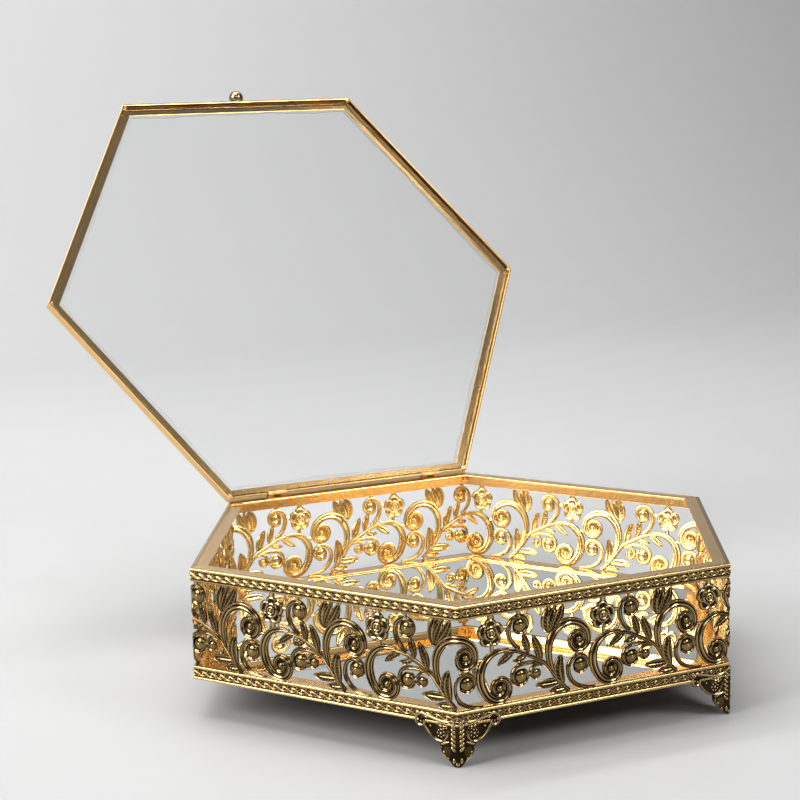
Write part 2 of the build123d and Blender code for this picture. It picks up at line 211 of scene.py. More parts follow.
metals = {
    # The outward faces take darker copies of the same gold: painted shade
    "paintedShadeFrontGold": {"bright": (0.275, 0.185, 0.072), "deep": (0.175, 0.115, 0.042),
                      "hollow": (0.014, 0.009, 0.004), "rubbedHighlight": (0.72, 0.55, 0.31),
                      "depth": 1.0, "cloud": 55, "rough": (0.11, 0.2), "bump": 0.012},
    "paintedShadeBandGold": {"bright": (0.44, 0.31, 0.13), "deep": (0.34, 0.23, 0.09),
                     "hollow": (0.085, 0.055, 0.02), "rubbedHighlight": (0.60, 0.45, 0.24),
                     "depth": 1.0, "cloud": 55, "rough": (0.2, 0.3), "bump": 0.012},
    "castBackGold": {"bright": (0.84, 0.60, 0.25), "deep": (0.76, 0.51, 0.18),
                     "hollow": (0.48, 0.26, 0.06), "rubbedHighlight": (0.90, 0.70, 0.36),
                     "depth": 0.8, "cloud": 55, "rough": (0.2, 0.32), "bump": 0.012},
    "barGold": {"bright": (0.88, 0.57, 0.235), "deep": (0.80, 0.49, 0.18), "hollow": (0.3, 0.18, 0.08),
                "depth": 0.5, "cloud": 38, "rough": (0.14, 0.21), "bump": 0.006},
    # the knob's gold is darkened the same way: painted shade
    "knobGold": {"bright": (0.34, 0.24, 0.11), "deep": (0.27, 0.18, 0.07), "hollow": (0.2, 0.12, 0.05),
                 "depth": 0.6, "cloud": 80, "rough": (0.07, 0.13), "bump": 0.01},
    "hingeGold": {"bright": (0.66, 0.44, 0.20), "deep": (0.42, 0.25, 0.10), "hollow": (0.2, 0.12, 0.06),
                  "depth": 0.6, "cloud": 260, "rough": (0.28, 0.5), "bump": 0.25},
    "solderGold": {"bright": (0.82, 0.56, 0.27), "deep": (0.62, 0.38, 0.17), "hollow": (0.2, 0.12, 0.06),
                   "depth": 0.6, "cloud": 200, "rough": (0.22, 0.4), "bump": 0.15},
    "wireSteel": {"bright": (0.66, 0.60, 0.50), "deep": (0.5, 0.44, 0.36), "hollow": (0.1, 0.09, 0.08),
                  "depth": 0.5, "cloud": 200, "rough": (0.25, 0.4), "bump": 0.1},
}


def startMaterial(name):
    material = bpy.data.materials.new(name)
    material.use_nodes = True
    return material, material.node_tree, material.node_tree.nodes["Principled BSDF"]


def addBump(tree, shader, height, strength, distance):
    bump = tree.nodes.new("ShaderNodeBump")
    feed(tree, bump, {"Strength": strength, "Distance": distance, "Height": height})
    feed(tree, shader, {"Normal": bump.outputs["Normal"]})


def buildMetal(name):
    finish = metals[name]
    material, tree, shader = startMaterial(name)
    plating = tree.nodes.new("ShaderNodeGroup")
    plating.node_tree = platingGroup
    # lighter colour for the highest relief: wear and a painted highlight
    rubbedHighlight = finish.get("rubbedHighlight", finish["bright"])
    feed(tree, plating, {
        "Bright": (*finish["bright"], 1), "Deep": (*finish["deep"], 1),
        "Patina and painted shade colour": (*finish["hollow"], 1), "Rubbed and highlight colour": (*rubbedHighlight, 1),
        "Patina and painted shade depth": finish["depth"], "Cloud scale": finish["cloud"],
        "Least roughness": finish["rough"][0], "Most roughness": finish["rough"][1]})
    feed(tree, shader, {"Base Color": plating.outputs["Colour"], "Metallic": 1.0,
                        "Roughness": plating.outputs["Roughness"]})
    addBump(tree, shader, plating.outputs["Height"], finish["bump"], 0.0006)
    return material


def addSmudges(tree, shader, scale, strength):
    smudge = tree.nodes.new("ShaderNodeGroup")
    smudge.node_tree = smudgeGroup
    feed(tree, smudge, {"Scale": scale, "Strength": strength})
    feed(tree, shader, {"Roughness": smudge.outputs["Roughness"]})


def buildMirror():
    material, tree, shader = startMaterial("silveredMirror")
    feed(tree, shader, {"Base Color": (0.86, 0.89, 0.885, 1), "Metallic": 1.0})
    addSmudges(tree, shader, 22, 0.05)
    return material


def buildGlass():
    material, tree, shader = startMaterial("clearGlass")
    feed(tree, shader, {"Base Color": (0.985, 0.993, 0.99, 1), "Transmission Weight": 1.0, "IOR": 1.5})
    addSmudges(tree, shader, 18, 0.02)
    return material


def buildSilicone():
    material, tree, shader = startMaterial("clearSilicone")
    cloud = noiseNode(tree, objectCoords(tree), 160, 3)
    colour = rampNode(tree, cloud, [(0.0, (0.93, 0.93, 0.90)), (1.0, (0.99, 0.99, 0.97))])
    feed(tree, shader, {"Base Color": colour, "Roughness": rangeNode(tree, cloud, 0.3, 0.7, 0.0, 0.08),
                        "Transmission Weight": 1.0, "IOR": 1.41})
    addBump(tree, shader, cloud, 0.1, 0.0003)
    return material


def buildHardboard():
    material, tree, shader = startMaterial("brownHardboard")
    coords = objectCoords(tree)
    fibres = noiseNode(tree, coords, 700, 6)
    cloud = noiseNode(tree, coords, 40, 3)
    both = mathNode(tree, "MULTIPLY", mathNode(tree, "ADD", fibres, cloud), 0.5)
    colour = rampNode(tree, both, [(0.3, (0.07, 0.04, 0.022)), (0.7, (0.19, 0.115, 0.065))])
    feed(tree, shader, {"Base Color": colour, "Roughness": 0.7})
    addBump(tree, shader, fibres, 0.3, 0.0004)
    return material


finishes = {name: buildMetal(name) for name in metals}
finishes["silveredMirror"] = buildMirror()
finishes["clearGlass"] = buildGlass()
finishes["clearSilicone"] = buildSilicone()
finishes["brownHardboard"] = buildHardboard()
print("materials ready")


# Mesh helpers
def startMesh():
    bm = bmesh.new()
    # each mesh carries the mask of patina and painted shade in its hollows
    bm.verts.layers.float.new("hollow")
    return bm


def patinaShadeLayer(bm):
    return bm.verts.layers.float["hollow"]


def endMesh(bm, name):
    mesh = bpy.data.meshes.new(name)
    bm.to_mesh(mesh)
    bm.free()
    return mesh


def addObject(name, data):
    made = bpy.data.objects.new(name, data)
    bpy.context.scene.collection.objects.link(made)
    return made


def merge(bm, other):                   # takes another mesh in and uses it up
    added = endMesh(other, "added")
    bm.from_mesh(added)
    bpy.data.meshes.remove(added)


def addCopy(bm, mesh, matrix):
    before = len(bm.verts)
    bm.from_mesh(mesh)
    bm.verts.ensure_lookup_table()
    bmesh.ops.transform(bm, matrix=matrix, verts=bm.verts[before:])


def vertsIn(geom):
    return [item for item in geom if isinstance(item, bmesh.types.BMVert)]


def edgesIn(geom):
    return [item for item in geom if isinstance(item, bmesh.types.BMEdge)]


def allOf(bm):
    return bm.verts[:] + bm.edges[:] + bm.faces[:]


def thicken(bm, faces, way):            # a copy of the faces moved along, with walls between
    far = vertsIn(bmesh.ops.extrude_face_region(bm, geom=faces, use_keep_orig=True)["geom"])
    bmesh.ops.translate(bm, verts=far, vec=way)
    return far


def soften(bm, edges, width):
    bmesh.ops.bevel(bm, geom=edges, offset=width, affect="EDGES", segments=2, profile=0.5, material=-1)


def addPiece(bm, body, node, materials, matrix, sharpAngle=40, oriented=False):
    name = pieceName(node)
    bmesh.ops.transform(bm, matrix=matrix, verts=bm.verts)
    if not oriented:
        bmesh.ops.recalc_face_normals(bm, faces=bm.faces)
    mesh = endMesh(bm, name)
    mesh.shade_smooth()
    mesh.set_sharp_from_angle(angle=math.radians(sharpAngle))
    for material in materials:
        mesh.materials.append(finishes[material])
    piece = addObject(name, mesh)
    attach(piece, body)
    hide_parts(node)


cutDist = 1e-5                          # points nearer than this count as on the cutting plane


def trimBy(bm, co, no):                 # cuts away what lies beyond a plane and closes the cut
    cut = bmesh.ops.bisect_plane(bm, geom=allOf(bm), dist=cutDist, plane_co=co, plane_no=no,
                                 clear_outer=True)
    edges = edgesIn(cut["geom_cut"])
    if edges:
        bmesh.ops.holes_fill(bm, edges=edges, sides=0)


def mitre(bm, ends=(-1, 1)):            # the planes through the corners and the middle of the hexagon
    for way in ends:
        across = (way * math.cos(math.radians(30)), 0, -math.sin(math.radians(30)))
        trimBy(bm, (0, 0, -apothem), across)


def prism(bm, section, halfLength):     # section: points as (z, y, patina and painted shade), swept along x
    layer = patinaShadeLayer(bm)
    before = len(bm.faces)
    verts = []
    for z, y, hollow in section:
        vert = bm.verts.new((-halfLength, y, z))
        vert[layer] = hollow
        verts.append(vert)
    face = bm.faces.new(verts)
    thicken(bm, [face], (2 * halfLength, 0, 0))
    bm.faces.ensure_lookup_table()
    bmesh.ops.recalc_face_normals(bm, faces=bm.faces[before:])


def bend(radius, turn):
    return (radius, turn)


def straight(length):
    return (length, 0)


def chain(start, heading, runs):        # stations along the runs: x, y, angle, distance, turn
    spacing, widest = 1.15, 18          # longest step, and most degrees in one step of a bend
    x, y = start
    angle = math.radians(heading)
    stations = [(x, y, angle, 0.0, runs[0][1])]
    far = 0.0
    for size, turn in runs:
        length = abs(math.radians(turn)) * size if turn else size
        steps = max(1, math.ceil(length / spacing), math.ceil(abs(turn) / widest))
        swing = math.radians(turn) / steps
        chord = 2 * size * math.sin(abs(swing) / 2) if turn else length / steps
        for _ in range(steps):
            x += chord * math.cos(angle + swing / 2)
            y += chord * math.sin(angle + swing / 2)
            angle += swing
            far += length / steps
            stations.append((x, y, angle, far, turn))
    return stations


def sweep(bm, section, frames):         # section: points as (across, up, patina and painted shade)
    layer = patinaShadeLayer(bm)
    before = len(bm.faces)
    ringVerts = []
    for across, up, hollow in section:
        vert = bm.verts.new(frames[0] @ Vector((0, across, up)))
        vert[layer] = hollow
        ringVerts.append(vert)
    ring = [bm.edges.new((a, b)) for a, b in zip(ringVerts, ringVerts[1:] + ringVerts[:1])]
    bmesh.ops.edgeloop_fill(bm, edges=ring)
    for last, after in zip(frames, frames[1:]):
        made = bmesh.ops.extrude_edge_only(bm, edges=ring)["geom"]
        ring = edgesIn(made)
        bmesh.ops.transform(bm, matrix=after @ last.inverted(), verts=vertsIn(made))
    bmesh.ops.edgeloop_fill(bm, edges=ring)
    bm.faces.ensure_lookup_table()
    bmesh.ops.recalc_face_normals(bm, faces=bm.faces[before:])


# Bead, groove, broad ridge, groove and thin bead, then the flatter inner face; the third value is patina
# and painted shade in the grooves, wear and a painted highlight on the crowns
scrollSection = [
    (-1.0, 0.0, 0.8), (-0.92, 0.52, 0.2), (-0.70, 0.80, -0.4), (-0.48, 0.70, 0.2), (-0.34, 0.42, 1.0),
    (-0.18, 0.76, 0.3), (0.10, 1.0, -0.5), (0.38, 0.84, 0.1), (0.54, 0.48, 1.0), (0.68, 0.64, 0.2),
    (0.84, 0.60, -0.3), (0.97, 0.30, 0.4), (1.0, 0.0, 0.8), (0.88, -0.44, 0.0), (0.52, -0.40, 0.9),
    (0.22, -0.72, -0.3), (-0.22, -0.72, -0.3), (-0.5, -0.40, 0.9), (-0.88, -0.46, 0.0)]
# Wire: patina and painted shade at its foot, wear and a painted highlight on its crown
wireSection = [(-1, 0, 0.7), (-0.6, 0.75, 0.0), (0.0, 1.0, -0.5), (0.6, 0.75, 0.0), (1, 0, 0.7),
               (0, -0.5, 0.5)]


def scroll(bm, spec, section=scrollSection):
    stations = chain(spec["start"], spec["heading"], spec["runs"])
    first, full, last = spec["widths"]
    length = stations[-1][3]
    swell = 0.35 * length               # how far in the ribbon is widest
    frames = []
    for x, y, angle, far, turn in stations:
        if far < swell:
            share = math.sin(math.pi / 2 * far / swell)
            width = first + (full - first) * share
        else:
            share = (far - swell) / (length - swell)
            width = full + (last - full) * share ** 0.8
        height = spec.get("rise", 0.5) + spec.get("slope", 0.23) * width
        side = 1 if turn < 0 else -1    # the narrow ridge runs along the outside of the bend
        place = Matrix.Translation((x, y, 0)) @ Matrix.Rotation(angle, 4, "Z")
        frames.append(place @ Matrix.Diagonal((1, -side * width / 2, height, 1)))
    sides = [f[1][1] * f[0][0] - f[0][1] * f[1][0] for f in frames]
    run = []
    # A ribbon keeps its ridge on one side, so it is cut where that flips
    for place, sense in zip(frames, sides):
        if run and sense * lastSense < 0:
            sweep(bm, section, run)
            run = run[-1:]
            run[0] = run[0] @ Matrix.Diagonal((1, -1, 1, 1))
        run.append(place)
        lastSense = sense
    sweep(bm, section, run)
    x, y, angle, far, turn = stations[-1]
    radius = spec["runs"][-1][0]
    way = 1 if turn > 0 else -1
    eye = (x - way * radius * math.sin(angle), y + way * radius * math.cos(angle))
    if spec["eye"]:
        # a dark disc fills the eye round the ball: patina and painted shade
        dome(bm, eye[0], eye[1], spec["fill"], 0.5, 0.0, 16, 6, hollow=0.9)
        dome(bm, eye[0], eye[1], spec["eye"], spec["eyeRise"], 0.0, hollow=0.1)
        dome(bm, eye[0], eye[1], spec["eye"] * 0.3, 0.3, spec["eyeRise"] - 0.15, 8, 4)


def dome(bm, x, y, radius, rise, lift, segments=14, rings=8, squash=1.0, angle=0.0, hollow=None):
    layer = patinaShadeLayer(bm)
    place = Matrix.Translation((x, y, lift)) @ Matrix.Rotation(angle, 4, "Z")
    shape = Matrix.Diagonal((radius, radius * squash, rise, 1))
    made = bmesh.ops.create_uvsphere(bm, u_segments=segments, v_segments=rings, radius=1)
    for vert in made["verts"]:
        # dark at the dome's foot with patina and painted shade, lighter at its crown with wear and a
        # painted highlight
        vert[layer] = max(-0.4, min(1.0, 0.9 - 1.5 * abs(vert.co.z))) if hollow is None else hollow
    bmesh.ops.transform(bm, matrix=place @ shape, verts=made["verts"])


def ridge(bm, at, radius, start, end, half, rise, lift):    # a raised arc, by its two angles
    steps = max(3, math.ceil(abs(end - start) / 26))
    way = 90 if end > start else -90
    frames = []
    for i in range(steps + 1):
        a = math.radians(start + (end - start) * i / steps)
        x, y = at[0] + radius * math.cos(a), at[1] + radius * math.sin(a)
        place = Matrix.Translation((x, y, lift)) @ Matrix.Rotation(a + math.radians(way), 4, "Z")
        taper = 0.45 + 0.55 * math.sin(math.pi * (0.12 + 0.76 * i / steps))
        frames.append(place @ Matrix.Diagonal((1, half * taper, rise * taper, 1)))
    sweep(bm, wireSection, frames)


def leaf(bm, spec, lift=0.1):           # rim, slanting veins and midrib, along a curved midline
    layer = patinaShadeLayer(bm)
    base = Vector(spec["base"])
    run = Vector(spec["tip"]) - base
    length = run.length
    aside = Vector((-run.y, run.x)).normalized()
    made = bmesh.ops.create_grid(bm, x_segments=20, y_segments=10, size=1)
    verts = made["verts"]
    for vert in verts:
        t, s = (vert.co.x + 1) / 2, vert.co.y
        t = max(0.0, min(1.0, t))
        half = 0.5 * spec["width"] * math.sin(math.pi * t ** 0.9) ** 0.62
        centre = base + run * t + aside * (spec["bend"] * math.sin(math.pi * t))
        along = (run + aside * (spec["bend"] * math.pi * math.cos(math.pi * t))).normalized()
        place = centre + Vector((-along.y, along.x)) * (s * half)
        vein = math.sin(2 * math.pi * (t * length / 1.45 - abs(s) * 1.1))
        inner = max(0.0, 1 - (abs(s) - 0.4) ** 2 / 0.12)
        rim = math.exp(-((abs(s) - 0.8) / 0.13) ** 2)
        rib = math.exp(-(s / 0.12) ** 2)
        swell = math.sin(math.pi * min(1.0, 0.12 + t)) ** 0.5
        body = (0.34 + spec.get("rise", 0.35) * (1 - s * s)) * swell
        height = body + 0.22 * rim + 0.2 * rib + 0.12 * vein * inner
        if abs(s) > 0.95:
            height = 0.05
        vert.co = (place.x, place.y, lift + height)
        # leaf body darkened with patina and painted shade, veins dark in their grooves, rim and midrib
        # lighter with wear and a painted highlight
        vert[layer] = max(-0.4, min(1.0, 0.85 - 0.6 * vein * inner - 1.2 * rim - 1.2 * rib))
    bmesh.ops.remove_doubles(bm, verts=verts, dist=0.02)
    faces = list({f for v in verts if v.is_valid for f in v.link_faces})
    back = bmesh.ops.extrude_face_region(bm, geom=faces, use_keep_orig=True)["geom"]
    behind = vertsIn(back)
    for vert in behind:
        vert.co.z = lift - motifSpec["backShare"] * (vert.co.z - lift)
    shell = list({f for v in behind for f in v.link_faces} | set(faces))
    bmesh.ops.recalc_face_normals(bm, faces=shell)
    if sum(f.normal.z for f in faces) < 0:
        bmesh.ops.reverse_faces(bm, faces=shell)


def rose(bm, spec):                     # rims of overlapping petals on both faces, round a bud
    x, y = spec["at"]
    petal, spread = spec["petal"], spec["spread"]
    # dark base and petals: patina and painted shade; the ridges' crowns lighter with wear and a painted
    # highlight
    dome(bm, x, y, spread * 1.5, 0.7, 0.0, 16, 6, hollow=0.9)
    for k in range(spec["petals"]):
        a = 90 + 360 / spec["petals"] * k
        at = (x + spread * math.cos(math.radians(a)), y + spread * math.sin(math.radians(a)))
        dome(bm, at[0], at[1], petal * 0.95, 0.55, 0.0, 12, 8, hollow=0.85)
        for face in (1, -motifSpec["backShare"]):
            ridge(bm, at, petal * 0.76, a - 100, a + 122, petal * 0.27, 0.75 * face, 0.2 * face)
    for face in (1, -motifSpec["backShare"]):
        for k in range(3):
            a = 20 + 120 * k
            ridge(bm, (x, y), spread * 0.95, a, a + 150, petal * 0.23, 0.7 * face, 0.5 * face)
            ridge(bm, (x, y), spread * 0.5, a + 60, a + 210, petal * 0.2, 0.65 * face, 0.8 * face)
        dome(bm, x, y, spec["bud"], 0.6, 0.9 * face, 10, 6)


# One motif of the pierced scrollwork, from the middle of its rose and up from the lower band
motifSpec = {
    "pitchPerSide": 2.5,
    "drawnHeight": 35.2,
    "depth": 0.62,                      # of the relief's middle plane behind the outer face
    "backShare": 0.72,                  # how high the inner face's relief is, against the outer one's
    "rose": {"at": (-0.1, 28.4), "petals": 5, "spread": 2.75, "petal": 3.05, "bud": 0.85},
    "scrolls": {
        "mainStem": {
            "start": (34.4, 0.6), "heading": 141, "widths": (2.2, 2.0, 1.5), "eye": 0,
            "runs": [bend(30, -14), straight(7.2), bend(12, 26), straight(7.5), bend(16, 25),
                     straight(1.5)]},
        "root": {
            "start": (46.4, 0.6), "heading": 181, "widths": (0.7, 2.1, 1.6),
            "fill": 3.2, "eye": 2.7, "eyeRise": 1.2,
            "runs": [straight(1.6), bend(13, -31), bend(7.8, -60), bend(5.0, -90), bend(3.6, -90),
                     bend(3.2, -90), bend(2.8, -60)]},
        "lowerC": {
            "start": (7.8, 20.8), "heading": 178, "widths": (1.6, 4.0, 1.5),
            "fill": 4.0, "eye": 1.4, "eyeRise": 1.2,
            "runs": [straight(3.1), bend(9.0, 92), bend(12.0, 45), bend(6.8, 45), bend(4.4, 90),
                     bend(4.2, 90), bend(3.3, 90), bend(2.7, 90), bend(2.2, 90), bend(1.8, 60)]},
        "upperC": {
            "start": (28.2, 8.0), "heading": 122, "widths": (2.0, 3.8, 1.5),
            "fill": 4.0, "eye": 1.4, "eyeRise": 1.2,
            "runs": [bend(18, -32), bend(11.2, -45), bend(8.4, -45), bend(9.4, -45), bend(6.9, -45),
                     bend(4.2, -90), bend(4.1, -90), bend(3.4, -90), bend(2.8, -90), bend(2.2, -90),
                     bend(1.8, -60)]},
        "topSpiral": {
            "start": (12.6, 20.5), "heading": 152, "widths": (1.7, 2.2, 1.8),
            "fill": 3.2, "eye": 2.7, "eyeRise": 1.2,
            "runs": [bend(9.2, -62), bend(4.7, -90), bend(3.5, -90), bend(3.1, -90), bend(2.8, -60)]},
        "middle": {
            "start": (21.3, 13.2), "heading": 150, "widths": (1.4, 1.9, 1.6),
            "fill": 3.1, "eye": 2.6, "eyeRise": 1.2,
            "runs": [bend(9, 32), straight(3.0), bend(4.4, 90), bend(3.5, 90), bend(3.1, 90),
                     bend(2.7, 60)]},
        "tiny": {
            "start": (22.6, 12.6), "heading": 165, "widths": (1.1, 1.5, 1.2),
            "fill": 1.9, "eye": 1.7, "eyeRise": 1.1,
            "runs": [straight(1.6), bend(3.0, 105), bend(2.2, 90), bend(1.9, 90), bend(1.7, 40)]},
    },
    "leaves": [
        {"base": (31.9, 3.2), "tip": (31.2, 15.8), "width": 5.3, "bend": 1.6, "rise": 0.6},
        {"base": (25.2, 24.6), "tip": (26.2, 35.6), "width": 5.4, "bend": 1.0, "rise": 0.5},
        {"base": (25.3, 24.7), "tip": (32.2, 35.3), "width": 4.8, "bend": -0.9, "rise": 0.4},
        {"base": (25.2, 25.6), "tip": (29.0, 35.6), "width": 3.6, "bend": 0.4, "rise": 0.9},
        {"base": (16.4, 18.3), "tip": (13.9, 26.6), "width": 3.4, "bend": -0.2},
        {"base": (22.1, 14.4), "tip": (18.2, 25.1), "width": 3.9, "bend": -0.4},
        {"base": (9.9, 19.6), "tip": (2.8, 15.2), "width": 3.2, "bend": -0.3},
        {"base": (15.5, 17.6), "tip": (9.4, 16.2), "width": 2.6, "bend": 0.4},
        {"base": (30.6, 5.0), "tip": (19.2, 4.9), "width": 4.0, "bend": 0.1},
        {"base": (33.6, 2.0), "tip": (25.6, 1.6), "width": 3.2, "bend": 0.1},
    ],
    "necks": [                          # short joins between the forms: start, end, width
        ((0.0, 33.2), (0.0, 35.8), 2.6), ((0.4, 23.6), (0.6, 21.0), 1.8),
        ((4.6, 29.8), (7.6, 29.6), 1.6), ((12.2, 33.4), (12.2, 35.8), 1.9),
        ((38.4, 16.0), (38.2, 13.8), 1.9), ((3.9, 0.8), (3.9, -0.8), 2.6),
        ((15.4, 10.0), (17.8, 10.0), 1.4), ((43.8, 18.2), (46.0, 18.2), 1.4),
        ((8.4, 9.0), (9.6, 9.6), 1.2)],
}


def neck(bm, start, end, width):
    run = Vector(end) - Vector(start)
    angle = math.atan2(run.y, run.x)
    frames = []
    for share in (0.0, 0.5, 1.0):
        at = Vector(start) + run * share
        place = Matrix.Translation((at.x, at.y, 0)) @ Matrix.Rotation(angle, 4, "Z")
        frames.append(place @ Matrix.Diagonal((1, width / 2, 0.6, 1)))
    sweep(bm, wireSection, frames)


def splitFinish(bm, front):             # faces that look into the box get the inner finish, the rest a darker copy of the same gold as painted shade
    bm.normal_update()
    for face in bm.faces:
        face.material_index = 1 if face.normal.z < -0.1 else front


def buildMotif():
    bm = startMesh()
    for spec in motifSpec["scrolls"].values():
        scroll(bm, spec)
    for spec in motifSpec["leaves"]:
        leaf(bm, spec)
    for start, end, width in motifSpec["necks"]:
        neck(bm, start, end, width)
    rose(bm, motifSpec["rose"])
    splitFinish(bm, 0)
    fit = (rimTop - bandHeight - openLow) / motifSpec["drawnHeight"]
    place = Matrix.Translation((0, openLow, -motifSpec["depth"])) @ Matrix.Scale(fit, 4)
    bmesh.ops.transform(bm, matrix=place, verts=bm.verts)
    print("motif", len(bm.faces), "faces")
    return endMesh(bm, "motif")


# Braid along the top and the bottom of the gallery
bandSpec = {
    "unitsPerSide": 28, "stepsPerUnit": 6,
    "overrun": 2,                       # past the corner, before the mitre
    "depth": -0.36, "weave": 0.14,      # of the strands' midline, and how far it rises and dips
    "edgeBead": 0.42, "edgeBeadAt": 1.1,
    "upper": {"reach": 0.92, "half": 0.62, "rise": 0.95, "bead": 0.5},
    "lower": {"reach": 0.85, "half": 0.44, "rise": 0.8, "bead": 0.62},
}


def braid(bm, row, spec):               # crossing strands, beads in the eyes and beside the crossings
    pitch = wallSide / bandSpec["unitsPerSide"]
    count = bandSpec["unitsPerSide"] + 2
    steps = bandSpec["stepsPerUnit"]
    for way in (-1, 1):
        reach = way * spec["reach"]
        frames = []
        for i in range(count * steps + 1):
            u = i / steps
            y = row + reach * math.cos(math.pi * u)
            z = bandSpec["depth"] + bandSpec["weave"] * way * math.sin(math.pi * u)
            slope = -reach * math.pi / pitch * math.sin(math.pi * u)
            place = Matrix.Translation((-wallSide / 2 + (u - 1) * pitch, y, z))
            frames.append(place @ Matrix.Rotation(math.atan(slope), 4, "Z")
                          @ Matrix.Diagonal((1, spec["half"], spec["rise"], 1)))
        sweep(bm, wireSection, frames)
    for i in range(count):
        x = -wallSide / 2 + (i - 1) * pitch
        dome(bm, x, row, spec["bead"], 0.7, -0.3, 8, 5)
        for way in (-1, 1):
            dome(bm, x + pitch / 2, row + way * bandSpec["edgeBeadAt"], bandSpec["edgeBead"], 0.55,
                 -0.3, 6, 4)


def buildBands():
    bm = startMesh()
    back = -galleryThick
    half = wallSide / 2 + bandSpec["overrun"]
    high, low = rimTop, rimTop - bandHeight
    # third values: the channel floor dark with patina and painted shade, the rims' crowns lighter with
    # wear and a painted highlight
    prism(bm, [(back, low, 0.2), (-0.35, low, 0.8), (0.0, low + 0.15, 0.8), (0.16, low + 0.3, 0.4),
               (0.18, low + 0.66, 0.1), (0.1, low + 1.02, 0.5), (-0.3, low + 1.2, 1.0),
               (-0.3, high - 1.5, 1.0), (0.12, high - 1.3, 0.5), (0.34, high - 0.98, 0.0),
               (0.38, high - 0.6, -0.4), (0.24, high - 0.22, -0.2), (-0.08, high - 0.02, 0.0),
               (back, high, 0.0)], half)
    braid(bm, (high - 1.5 + low + 1.2) / 2, bandSpec["upper"])
    high, low = openLow, bandLow
    prism(bm, [(back, low, 0.2), (0.1, low, 0.3), (0.42, low + 0.12, -0.2), (0.46, low + 0.5, -0.4),
               (0.2, low + 1.0, 0.3), (-0.28, low + 1.25, 0.9), (-0.28, high - 1.45, 0.9),
               (0.14, high - 1.26, 0.5), (0.36, high - 0.94, -0.1), (0.38, high - 0.55, -0.4),
               (0.22, high - 0.2, 0.0), (-0.08, high - 0.02, 0.0), (back, high, 0.0)], half)
    braid(bm, (high - 1.42 + low + 1.25) / 2, bandSpec["lower"])
    splitFinish(bm, 2)
    print("bands", len(bm.faces), "faces")
    return endMesh(bm, "bands")


# firstRose is the place of a wall's first rose, in motifs from its left end, on even and odd walls
gallerySpec = {"firstRose": (0.3, 0.8), "seamGap": 0.4}


def buildGallery():
    motif = buildMotif()
    bands = buildBands()
    pitch = wallSide / motifSpec["pitchPerSide"]
    # outer faces and bands: the gold darkened as painted shade; inner faces: the gold itself
    finish = ["paintedShadeFrontGold", "castBackGold", "paintedShadeBandGold"]
    for k, name in enumerate(wallNames):
        bm = startMesh()
        first = gallerySpec["firstRose"][k % 2] * pitch - wallSide / 2
        for i in range(-2, 4):
            x = first + pitch * i
            if -wallSide / 2 - pitch < x < wallSide / 2 + 0.15 * pitch:
                addCopy(bm, motif, Matrix.Translation((x, 0, 0)))
        bm.from_mesh(bands)
        mitre(bm)
        halves = {"gallery_" + name: bm}
        if name == "back":
            seam = (middle.x - seamRight.x) / mm      # wall space runs the other way here
            other = bm.copy()
            trimBy(bm, (seam - gallerySpec["seamGap"] / 2, 0, 0), (1, 0, 0))
            trimBy(other, (seam + gallerySpec["seamGap"] / 2, 0, 0), (-1, 0, 0))
            halves = {"gallery_back_right_of_seam": bm, "gallery_back_left_of_seam": other}
        for node, part in halves.items():
            addPiece(part, "box", node, finish, wallMatrix(k), oriented=True)
    bpy.data.meshes.remove(motif)
    bpy.data.meshes.remove(bands)
    print("gallery done")


# Angle bars
barSpec = {"thick": 0.8, "rounding": 0.14, "overrun": 4, "notchRoom": 0.3,
           "lugs": {"spread": 62, "width": 8, "reach": 4.8, "thick": 0.5}}


def buildBar(k, node, body, section, turn=Matrix.Identity(4), notches=(), lugTop=None):
    bm = startMesh()
    prism(bm, [(z, y, 0.0) for z, y in section], wallSide / 2 + barSpec["overrun"])
    mitre(bm)
    long = [e for e in bm.edges if abs((e.verts[0].co - e.verts[1].co).normalized().x) > 0.99]
    soften(bm, long, barSpec["rounding"])
    for x, width, high in notches:
        cutNotch(bm, x, width, high)
    if lugTop is not None:
        for way in (-0.5, 0.5):
            addLug(bm, way * barSpec["lugs"]["spread"], lugTop)
    addPiece(bm, body, node, ["barGold"], wallMatrix(k, turn), 15)


def addLug(bm, x, top):                 # bent in under the floor's backing board
    lug = barSpec["lugs"]
    place = Matrix.Translation((x, top - lug["thick"] / 2, -galleryThick - lug["reach"] / 2))
    shape = Matrix.Diagonal((lug["width"], lug["thick"], lug["reach"], 1))
    made = bmesh.ops.create_cube(bm, size=1, matrix=place @ shape)
    edges = list({e for v in made["verts"] for e in v.link_edges})
    soften(bm, edges, barSpec["rounding"])


def cutNotch(bm, x, width, high):       # an open slot up from the skirt's edge, its three walls closed
    near = 1e-3
    sides = (x - width / 2, x + width / 2)
    cuts = [((side, 0, 0), (1, 0, 0)) for side in sides] + [((0, high, 0), (0, 1, 0))]
    for co, no in cuts:
        bmesh.ops.bisect_plane(bm, geom=allOf(bm), dist=cutDist, plane_co=co, plane_no=no)
    gone = [f for f in bm.faces if abs(f.calc_center_median().x - x) < width / 2
            and f.calc_center_median().y < high]
    bmesh.ops.delete(bm, geom=gone, context="FACES")
    rim = [e for e in bm.edges if e.is_boundary]
    rungs = []
    for side in sides:
        ends = list({v for e in rim for v in e.verts
                     if abs(v.co.x - side) < near and abs(v.co.y - high) < near})
        rungs.append(bm.edges.new(ends))
        wall = [e for e in rim if all(abs(v.co.x - side) < near for v in e.verts)]
        bmesh.ops.edgeloop_fill(bm, edges=wall + rungs[-1:])
    roof = [e for e in rim if all(abs(v.co.y - high) < near for v in e.verts)]
    bmesh.ops.edgeloop_fill(bm, edges=roof + rungs)


